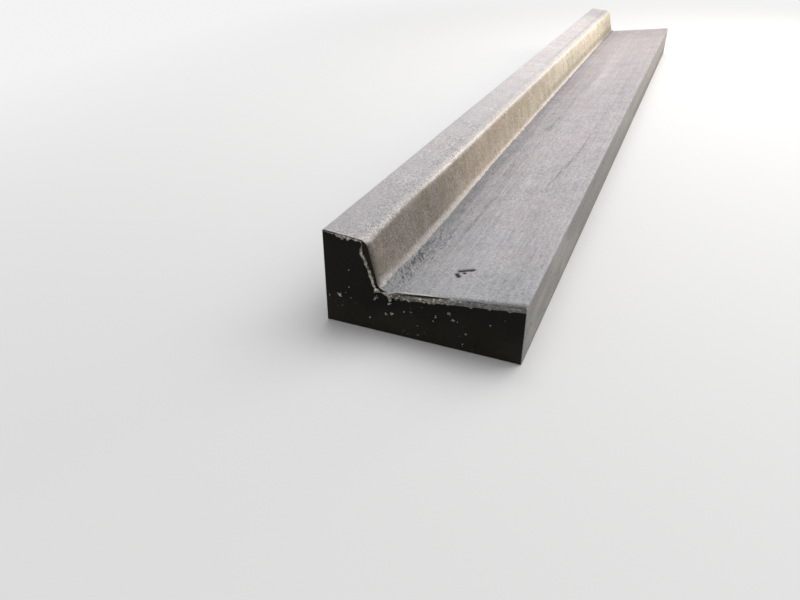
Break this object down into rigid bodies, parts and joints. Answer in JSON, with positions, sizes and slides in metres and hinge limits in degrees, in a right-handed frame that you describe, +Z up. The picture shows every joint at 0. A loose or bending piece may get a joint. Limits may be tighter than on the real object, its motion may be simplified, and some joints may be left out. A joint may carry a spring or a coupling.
{
  "type": "concrete kerb and gutter bay",
  "caption": "Straight bay of cast-in-place concrete kerb and gutter, with a battered kerb face, a sloping gutter pan and half of a tooled joint groove at one end.",
  "frame": {"origin": "centre of the bay's footprint, on the level bed that it was cast on", "axes": "+Z up, +Y along the bay from the stop end to the joint end, +X from the kerb to the road"},
  "size_m": [0.61, 4.572, 0.3045],
  "materials": {
    "concrete": "floated and lightly brushed by hand on top, as struck from the boards on its sides"
  },
  "bodies": {
    "root": {"kerb_and_gutter": "concrete"}
  },
  "joints": []
}
